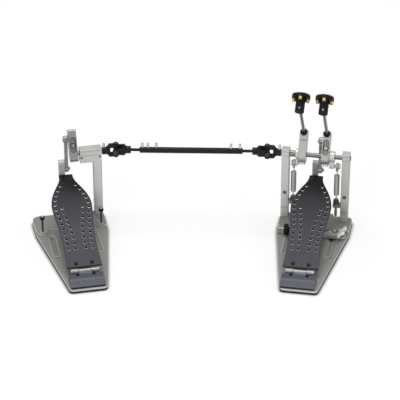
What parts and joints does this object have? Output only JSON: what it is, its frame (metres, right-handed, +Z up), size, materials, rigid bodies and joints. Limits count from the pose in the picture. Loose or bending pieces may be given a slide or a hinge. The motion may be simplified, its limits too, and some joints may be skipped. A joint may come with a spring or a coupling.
{
  "type": "double bass drum pedal",
  "caption": "Double bass drum pedal: hinged footboards on floor plates, joined by a drive shaft with universal joints, swing felt beaters on leaning rotors against coil springs.",
  "frame": {"origin": "on the floor under the middle of the primary pedal's axle", "axes": "+X to the drummer's right along the primary axle, +Y towards the drum, +Z up"},
  "size_m": [0.6795, 0.3986, 0.3507],
  "materials": {
    "base_grey": "satin anodised",
    "mat_rubber": "matt",
    "machined_grey": "satin machined",
    "bright_steel": "polished",
    "spring_steel": "plated",
    "board_dark": "dark satin anodised",
    "machined_dark": "satin",
    "black_steel": "satin black",
    "black_plastic": "moulded",
    "felt": "pressed felt",
    "brass": "turned"
  },
  "bodies": {
    "primary_base": {"base_plate_primary": "base_grey", "base_mat_primary": "mat_rubber", "post_left": "machined_grey", "post_right": "machined_grey", "post_caps_primary": "machined_grey", "bushes_primary": "bright_steel", "heel_plate_primary": "board_dark", "heel_hinge_primary": "bright_steel", "spring_anchors": "machined_dark", "spring_primary": "spring_steel", "spring_secondary": "spring_steel", "clamp_block": "machined_grey"},
    "primary_footboard": {"footboard_primary": "board_dark", "board_hinge_primary": "bright_steel", "stem_primary": "machined_grey"},
    "primary_link": {"link_primary": "machined_grey"},
    "primary_axle": {"axle_primary": "machined_dark", "rotor_primary": "machined_dark", "spring_crank_primary": "machined_grey", "ball_collar_primary": "black_plastic"},
    "primary_beater": {"beater_shaft_primary": "machined_dark", "beater_head_primary": "black_plastic", "beater_felt_primary": "felt", "beater_weights_primary": "brass"},
    "spring_hook_primary": {"spring_hook_primary": "bright_steel"},
    "secondary_axle": {"rotor_secondary": "machined_dark", "stub_secondary": "machined_dark", "spring_crank_secondary": "machined_grey", "ball_collar_secondary": "black_plastic", "yoke_primary": "black_steel"},
    "secondary_beater": {"beater_shaft_secondary": "machined_dark", "beater_head_secondary": "black_plastic", "beater_felt_secondary": "felt", "beater_weights_secondary": "brass"},
    "spring_hook_secondary": {"spring_hook_secondary": "bright_steel"},
    "drive_rod": {"drive_rod": "black_steel", "drive_yoke_primary": "black_steel"},
    "cross_primary": {"cross_primary": "black_steel"},
    "drive_tube": {"drive_tube": "black_steel", "drive_yoke_slave": "black_steel"},
    "cross_slave": {"cross_slave": "black_steel"},
    "slave_base": {"base_plate_slave": "base_grey", "base_mat_slave": "mat_rubber", "post_slave": "machined_grey", "housing_cap_slave": "machined_grey", "bushes_slave": "bright_steel", "heel_plate_slave": "board_dark", "heel_hinge_slave": "bright_steel"},
    "slave_footboard": {"footboard_slave": "board_dark", "board_hinge_slave": "bright_steel", "stem_slave": "machined_grey"},
    "slave_link": {"link_slave": "machined_grey"},
    "slave_axle": {"axle_slave": "machined_dark", "cam_slave": "machined_dark", "yoke_slave": "black_steel"},
    "clamp_screw": {"clamp_screw": "bright_steel"},
    "clamp_jaw": {"clamp_jaw": "machined_grey"},
    "spur_left": {"spur_left": "black_steel"},
    "spur_right": {"spur_right": "black_steel"}
  },
  "joints": [
    {"name": "primary_footboard_hinge", "type": "hinge", "parent": "primary_base", "child": "primary_footboard", "pos_m": [0, -0.235, 0.021], "axis": [-1, 0, 0], "range_deg": [0, 4.2], "stiffness_Nm_per_rad": 20, "springref_deg": -8.59},
    {"name": "primary_link_pivot", "type": "hinge", "parent": "primary_footboard", "child": "primary_link", "pos_m": [0, 0.025, 0.117], "axis": [-1, 0, 0], "range_deg": [-0.785, 0]},
    {"name": "primary_axle_turn", "type": "hinge", "parent": "primary_base", "child": "primary_axle", "pos_m": [0, 0, 0.166], "axis": [-1, 0, 0], "range_deg": [0, 37.64]},
    {"name": "primary_beater_height", "type": "slide", "parent": "primary_axle", "child": "primary_beater", "axis": [0, -0.6293, 0.7771], "range_m": [-0.01, 0.015]},
    {"name": "primary_spring_pull", "type": "slide", "parent": "primary_base", "child": "spring_hook_primary", "axis": [0, -0.831, 0.5562], "range_m": [0, 0.01299], "deforming": ["spring_primary"]},
    {"name": "slave_footboard_hinge", "type": "hinge", "parent": "slave_base", "child": "slave_footboard", "pos_m": [-0.43881, -0.30597, 0.021], "axis": [-0.9304, -0.3665, 0], "range_deg": [0, 4.2], "stiffness_Nm_per_rad": 20, "springref_deg": -8.59},
    {"name": "slave_link_pivot", "type": "hinge", "parent": "slave_footboard", "child": "slave_link", "pos_m": [-0.5341, -0.06406, 0.117], "axis": [-0.9304, -0.3665, 0], "range_deg": [-0.785, 0]},
    {"name": "slave_axle_turn", "type": "hinge", "parent": "slave_base", "child": "slave_axle", "pos_m": [-0.52494, -0.08732, 0.166], "axis": [-0.9304, -0.3665, 0], "range_deg": [0, 37.64]},
    {"name": "slave_distance", "type": "slide", "parent": "primary_base", "child": "slave_base", "axis": [-0.989, -0.1478, 0], "range_m": [-0.015, 0.05]},
    {"name": "drive_tube_turn", "type": "hinge", "parent": "slave_base", "child": "drive_tube", "pos_m": [-0.42445, -0.04774, 0.166], "axis": [-0.989, -0.1478, 0], "range_deg": [0, 36.86]},
    {"name": "slave_cross_tilt", "type": "hinge", "parent": "drive_tube", "child": "cross_slave", "pos_m": [-0.42445, -0.04774, 0.166], "axis": [-0.1478, 0.989, 0], "range_deg": [-8.08, 0]},
    {"name": "drive_rod_turn", "type": "hinge", "parent": "primary_base", "child": "drive_rod", "pos_m": [-0.105, 0, 0.166], "axis": [-0.989, -0.1478, 0], "range_deg": [0, 36.86]},
    {"name": "primary_cross_tilt", "type": "hinge", "parent": "drive_rod", "child": "cross_primary", "pos_m": [-0.105, 0, 0.166], "axis": [-0.1478, 0.989, 0], "range_deg": [0, 5.26]},
    {"name": "secondary_axle_turn", "type": "hinge", "parent": "primary_base", "child": "secondary_axle", "pos_m": [0, 0, 0.166], "axis": [-1, 0, 0], "range_deg": [0, 37.19]},
    {"name": "secondary_beater_height", "type": "slide", "parent": "secondary_axle", "child": "secondary_beater", "axis": [0, -0.6293, 0.7771], "range_m": [-0.01, 0.015]},
    {"name": "secondary_spring_pull", "type": "slide", "parent": "primary_base", "child": "spring_hook_secondary", "axis": [0, -0.8332, 0.553], "range_m": [0, 0.01284], "deforming": ["spring_secondary"]},
    {"name": "clamp_screw_turn", "type": "hinge", "parent": "primary_base", "child": "clamp_screw", "pos_m": [0.067, -0.068, 0.02], "axis": [0, 0, 1], "range_deg": [0, 720]},
    {"name": "clamp_jaw_rock", "type": "hinge", "parent": "primary_base", "child": "clamp_jaw", "pos_m": [0, -0.002, 0.022], "axis": [-1, 0, 0], "range_deg": [0, 2.6]},
    {"name": "spur_left_height", "type": "slide", "parent": "slave_base", "child": "spur_left", "axis": [0, 0, 1], "range_m": [0, 0.006]},
    {"name": "spur_right_height", "type": "slide", "parent": "slave_base", "child": "spur_right", "axis": [0, 0, 1], "range_m": [0, 0.006]}
  ],
  "couplings": [
    {"joint": "primary_link_pivot", "follows": "primary_footboard_hinge", "ratio": -0.175},
    {"joint": "primary_axle_turn", "follows": "primary_footboard_hinge", "ratio": 8.95},
    {"joint": "primary_spring_pull", "follows": "primary_footboard_hinge", "m_per_rad": 0.17581},
    {"joint": "slave_link_pivot", "follows": "slave_footboard_hinge", "ratio": -0.175},
    {"joint": "slave_axle_turn", "follows": "slave_footboard_hinge", "ratio": 8.95},
    {"joint": "drive_tube_turn", "follows": "slave_footboard_hinge", "ratio": 8.7651},
    {"joint": "slave_cross_tilt", "follows": "slave_footboard_hinge", "ratio": -1.9114},
    {"joint": "drive_rod_turn", "follows": "slave_footboard_hinge", "ratio": 8.7651},
    {"joint": "primary_cross_tilt", "follows": "slave_footboard_hinge", "ratio": 1.2407},
    {"joint": "secondary_axle_turn", "follows": "slave_footboard_hinge", "ratio": 8.8433},
    {"joint": "secondary_spring_pull", "follows": "slave_footboard_hinge", "m_per_rad": 0.17379},
    {"joint": "clamp_jaw_rock", "follows": "clamp_screw_turn", "ratio": 0.0036}
  ]
}
